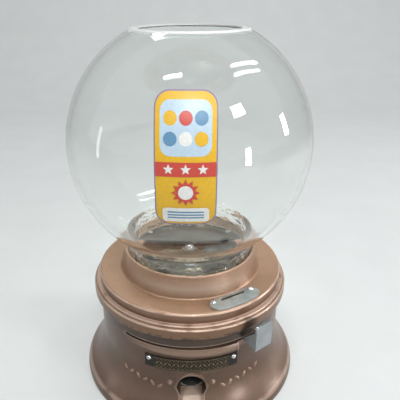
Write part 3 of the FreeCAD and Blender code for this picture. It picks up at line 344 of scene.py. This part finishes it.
def wrapped_on(node, turn, level):
    """A way to lay flat shapes round a piece: u mm across and v mm up from the middle, which is turned by
    so many degrees from the front at this height in mm, and lifted off the surface by a number of mm."""
    mesh = NODES[node].data
    skin = BVHTree.FromPolygons([v.co for v in mesh.vertices], [p.vertices for p in mesh.polygons])

    def ray(angle, height):
        out = Vector((math.sin(angle), -math.cos(angle), 0))
        return skin.ray_cast(out * OUTSIDE + Vector((0, 0, height)), -out)

    def laid(u, v, lift):
        height = (level + v) * MM
        middle = math.radians(turn)
        radius = ray(middle, height)[0].xy.length
        spot, normal = ray(middle + u * MM / radius, height)[:2]
        return spot + normal * lift * MM

    return laid


def oval(across, up, wide, high, tilt=0):
    """Outline of an ellipse given by its middle and half sizes, tilted by so many degrees."""
    points = []
    for turn in [2 * math.pi * i / OVAL_POINTS for i in range(OVAL_POINTS)]:
        x, y = wide * math.cos(turn), high * math.sin(turn)
        c, s = math.cos(math.radians(tilt)), math.sin(math.radians(tilt))
        points.append((across + x * c - y * s, up + x * s + y * c))
    return points


def panel(across, up, wide, high, corner):
    """Outline of a rectangle with rounded corners, given by its middle and half sizes."""
    points = []
    for quarter, (sx, sy) in enumerate([(1, 1), (-1, 1), (-1, -1), (1, -1)]):
        for turn in [math.pi / 2 * (quarter + i / CORNER_POINTS) for i in range(CORNER_POINTS + 1)]:
            points.append((across + sx * (wide - corner) + corner * math.cos(turn),
                           up + sy * (high - corner) + corner * math.sin(turn)))
    return points


def star(across, up, tips, outer, inner):
    """Outline of a star round its middle."""
    points = []
    for i in range(2 * tips):
        turn = math.pi * i / tips + math.pi / 2
        reach = inner if i % 2 else outer
        points.append((across + reach * math.cos(turn), up + reach * math.sin(turn)))
    return points


def split(outline, step):
    """The same outline with points no further apart than a step."""
    points = []
    for (x, y), (x2, y2) in zip(outline, outline[1:] + outline[:1]):
        count = max(1, math.ceil(math.hypot(x2 - x, y2 - y) / step))
        points += [(x + (x2 - x) * i / count, y + (y2 - y) * i / count) for i in range(count)]
    return points


# Points of a thin shape lie this far apart, and its lowest layer this far off the surface, in mm
POINT_STEP = 2.5
LAYER_LIFT = 0.1


def shapes(name, layers, laid, rise, dome=0.0):
    """One thin piece of shapes (outline, ink), each lying a little higher than the one before, and domed
    by a number of mm in its middle. Rings of points follow the curve of the surface below."""
    points, faces, inks, palette = [], [], [], []
    for level, (outline, ink) in enumerate(layers):
        if ink not in palette:
            palette.append(ink)
        outline = split(outline, POINT_STEP)
        count = len(outline)
        cx = sum(x for x, _ in outline) / count
        cy = sum(y for _, y in outline) / count
        reach = max(math.hypot(x - cx, y - cy) for x, y in outline)
        rings = max(3, math.ceil(reach / POINT_STEP))
        first = len(points) + 1
        lift = LAYER_LIFT + rise * level
        points.append(laid(cx, cy, lift + dome))
        for share in [i / rings for i in range(1, rings + 1)]:
            height = lift + dome * (1 - share * share)
            points += [laid(cx + (x - cx) * share, cy + (y - cy) * share, height) for x, y in outline]
        for i in range(count):
            after = (i + 1) % count
            faces.append((first - 1, first + i, first + after))
            for inside in range(first, first + (rings - 1) * count, count):
                faces.append((inside + i, inside + count + i, inside + count + after, inside + after))
        inks += [palette.index(ink)] * (len(faces) - len(inks))
    mesh = bpy.data.meshes.new(name)
    mesh.from_pydata(points, [], faces)
    for ink in palette:
        mesh.materials.append(ink)
    mesh.polygons.foreach_set("material_index", inks)
    mesh.shade_smooth()
    made = bpy.data.objects.new(name, mesh)
    bpy.context.scene.collection.objects.link(made)
    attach(made, "machine")


# Inks of the transfer, faded a little by the sun
YELLOW = printed_ink("yellow_ink", "#E9B92B")
BLUE = printed_ink("pale_blue_ink", "#BFD8EA")
DEEP_BLUE = printed_ink("blue_ink", "#5F93B8")
RED = printed_ink("red_ink", "#CE4A42")
WHITE = printed_ink("white_ink", "#EEF0EC")
VIOLET = printed_ink("violet_ink", "#8C7C9C")

# Middle of the transfer, of the name plate and of a row of leaves: its height in mm, and its turn from the
# front in degrees
TRANSFER_LEVEL = 214.0
TRANSFER_TURN = -2.5
PLATE_LEVEL = 50.1
LEAVES_LEVEL = 28.5
LEAVES_TURN = 18.0

# Transfer on the globe: a white backing, then a bordered panel with balls, stars, a sun and a ruled card
transfer = [(panel(0, 0, 18.4, 39.4, 9), WHITE), (panel(0, 0, 18.5, 39.5, 9), VIOLET),
            (panel(0, 0, 17.7, 38.7, 8.4), YELLOW), (panel(0, 19.5, 15, 15, 6), BLUE)]
for u, v, ink in [(-9, 25, YELLOW), (0, 25, RED), (9, 25, DEEP_BLUE), (-9, 14, DEEP_BLUE), (0, 14, WHITE),
                  (9, 14, YELLOW)]:
    transfer.append((oval(u, v, 3.9, 3.9), ink))
transfer.append((panel(0, -3, 17.7, 4.2, 0.6), RED))
for u in (-10, 0, 10):
    transfer.append((star(u, -3, 5, 3.2, 1.4), WHITE))
transfer += [(star(0, -17, 12, 8.6, 5.6), RED), (oval(0, -17, 4.4, 4.4), WHITE),
             (panel(0, -32, 14, 5, 2.4), WHITE)]
for v in (-34, -32, -30):
    transfer.append((panel(0, v, 11, 0.5, 0.4), DEEP_BLUE))
shapes("globe_transfer", transfer, wrapped_on("glass_globe", TRANSFER_TURN, TRANSFER_LEVEL), 0.03)

# Plaited leaves, dots and two border lines on the name plate
LEAF_STEP = 3.3
plate_lines = []
for step in range(-8, 9):
    plate_lines.append((oval(step * LEAF_STEP, 0, 0.55, 1.5, 35 if step % 2 else -35), TARNISH))
    plate_lines += [(oval(step * LEAF_STEP, v, 0.5, 0.4), TARNISH) for v in (-3.2, 3.2)]
    plate_lines += [(oval((step + 0.5) * LEAF_STEP, v, 0.3, 0.5), TARNISH) for v in (-1.9, 1.9)]
plate_lines += [(panel(0, v, 29, 0.22, 0.2), TARNISH) for v in (-4.5, 4.5)]
shapes("name_plate_pattern", plate_lines, wrapped_on("name_plate", 0, PLATE_LEVEL), 0.0)

# Six raised leaves and a boss, cast on each side of the outlet
for side, name in ((1, "cast_leaves_right"), (-1, "cast_leaves_left")):
    leaves = [(oval(side * step * 6.4, step * 0.9, 2.5, 1.3, side * (50 if step % 2 else -40)), RUBBED_PAINT)
              for step in range(6)]
    leaves.append((oval(side * -7.8, 4.5, 1.2, 1.2), RUBBED_PAINT))
    shapes(name, leaves, wrapped_on("base_casting", side * LEAVES_TURN, LEAVES_LEVEL), 0.0, 0.8)


# Stage, light and camera

def studio_glow(tree, hidden, shown):
    """How bright the studio is by itself: shown to the rays that see it straight, through glass or mirrored
    in metal, and hidden to the rest, so that it lights the machine no more than that."""
    rays = add(tree, "LightPath", {}).node.outputs
    seen = add(tree, "Math", {0: rays["Is Camera Ray"], 1: rays["Is Transmission Ray"]}, operation="ADD")
    seen = add(tree, "Math", {0: seen, 1: rays["Is Glossy Ray"]}, operation="MAXIMUM")
    return add(tree, "MapRange", {"Value": seen, "To Min": hidden, "To Max": shown})


def studio_paper():
    """Matt paper on a roll: pale and faintly cloudy, and even to the eye where little light falls on it."""
    made, tree, shader = material("studio_paper")
    tone = coats(tree, "#AEB1B1", [(patches(tree, 60, 0.3, 0.7, detail=3), "#B3B6B6")])
    wire(tree, shader, {"Base Color": tone, "Roughness": 0.85, "Specular IOR Level": 0.2,
                        "Emission Color": rgb("#E0E2E1"), "Emission Strength": studio_glow(tree, 0.0, 0.36)})
    return made


# The paper in metres: how far it reaches to each side and to the front, where it starts to curve up, the
# radius of the curve and its top, then the steps of the curve and the gap under the machine's foot
PAPER_HALF = 8.0
CURVE_START = 0.9
CURVE_RADIUS = 0.6
PAPER_TOP = 3.0
CURVE_STEPS = 24
UNDER_FOOT = 0.0002


def sweep():
    """Floor that curves up into the backdrop behind the machine, a hair below its foot."""
    line = [(-PAPER_HALF, 0.0), (CURVE_START, 0.0)]
    for step in range(1, CURVE_STEPS + 1):
        turn = math.pi / 2 * step / CURVE_STEPS
        line.append((CURVE_START + CURVE_RADIUS * math.sin(turn),
                     CURVE_RADIUS - CURVE_RADIUS * math.cos(turn)))
    line.append((CURVE_START + CURVE_RADIUS, PAPER_TOP))
    points = [(x, y, z - UNDER_FOOT) for y, z in line for x in (-PAPER_HALF, PAPER_HALF)]
    faces = [(2 * i, 2 * i + 1, 2 * i + 3, 2 * i + 2) for i in range(len(line) - 1)]
    mesh = bpy.data.meshes.new("studio_sweep")
    mesh.from_pydata(points, [], faces)
    mesh.materials.append(studio_paper())
    mesh.shade_smooth()
    made = bpy.data.objects.new("studio_sweep", mesh)
    bpy.context.scene.collection.objects.link(made)


# Height in metres that the lamps face, and above which they may show through the globe. Lower ones would
# stand behind it as white squares when it is seen from the back.
LAMP_AIM = 0.1
HIGH_LAMP = 1.0


def strip(name, start, end, width, power):
    """A strip of light between two points, so wide, that faces the machine; in metres and watts."""
    start, end = Vector(start), Vector(end)
    middle = (start + end) / 2
    along = (end - start).normalized()
    away = middle - Vector((0, 0, LAMP_AIM))
    away = (away - along * away.dot(along)).normalized()
    turned = Matrix((along, away.cross(along), away)).transposed().to_4x4()
    data = bpy.data.lights.new(name, "AREA")
    data.shape = "RECTANGLE"
    data.size, data.size_y = (end - start).length, width
    data.energy = power
    made = bpy.data.objects.new(name, data)
    made.matrix_world = Matrix.Translation(middle) @ turned
    made.visible_transmission = start.z > HIGH_LAMP
    bpy.context.scene.collection.objects.link(made)


def studio_air():
    """Pale air round the paper that gives little light."""
    world = bpy.data.worlds.new("studio_air")
    world.use_nodes = True
    tree = world.node_tree
    wire(tree, tree.nodes["Background"], {"Color": rgb("#D4D8DA"), "Strength": studio_glow(tree, 0.18, 0.85)})
    bpy.context.scene.world = world


# Tubes under the ceiling give the short streaks on the upper globe, and windows those on its sides and the
# sheen on collar and foot
sweep()
strip("ceiling_panel", (-0.5, 0.85, 1.45), (0.3, 0.85, 1.45), 0.3, 4.5)
strip("right_tube_near", (0.58, -0.02, 1.3), (1.05, 0.51, 1.3), 0.05, 2)
strip("right_tube_far", (0.68, -0.17, 1.3), (1.15, 0.36, 1.3), 0.05, 2)
strip("front_tube", (-0.40, -0.35, 1.3), (-0.12, -0.35, 1.3), 0.05, 4)
strip("key_window", (0.80, -0.72, 0.84), (0.80, -0.72, 1.10), 0.25, 4.5)
strip("front_window", (-0.10, -0.90, 1.10), (0.20, -0.90, 1.10), 0.06, 8)
strip("right_window", (0.95, -0.86, 0.05), (0.95, -0.86, 0.35), 0.12, 2.5)
strip("side_window", (1.15, 0.0, 0.28), (1.15, 0.0, 0.55), 0.10, 5)
strip("left_window", (-1.4, -0.15, 0.0), (-1.4, -0.15, 0.5), 0.08, 0.6)
studio_air()

# The photograph's camera, found from the round rims: lens in mm on a 36 mm sensor, place in metres, and
# how far it looks down and to the right in degrees
LOOKS_DOWN = 24.29
LOOKS_RIGHT = 1.0
camera = bpy.data.cameras.new("photo_camera")
camera.sensor_width = 36.0
camera.lens = 41.43
camera.shift_x = 0.0257
camera.clip_start = 0.01
viewer = bpy.data.objects.new("photo_camera", camera)
viewer.location = (-0.0059, -0.33816, 0.30379)
viewer.rotation_euler = (math.radians(90 - LOOKS_DOWN), 0, math.radians(-LOOKS_RIGHT))
bpy.context.scene.collection.objects.link(viewer)
bpy.context.scene.camera = viewer
bpy.context.scene.view_settings.view_transform = "Standard"
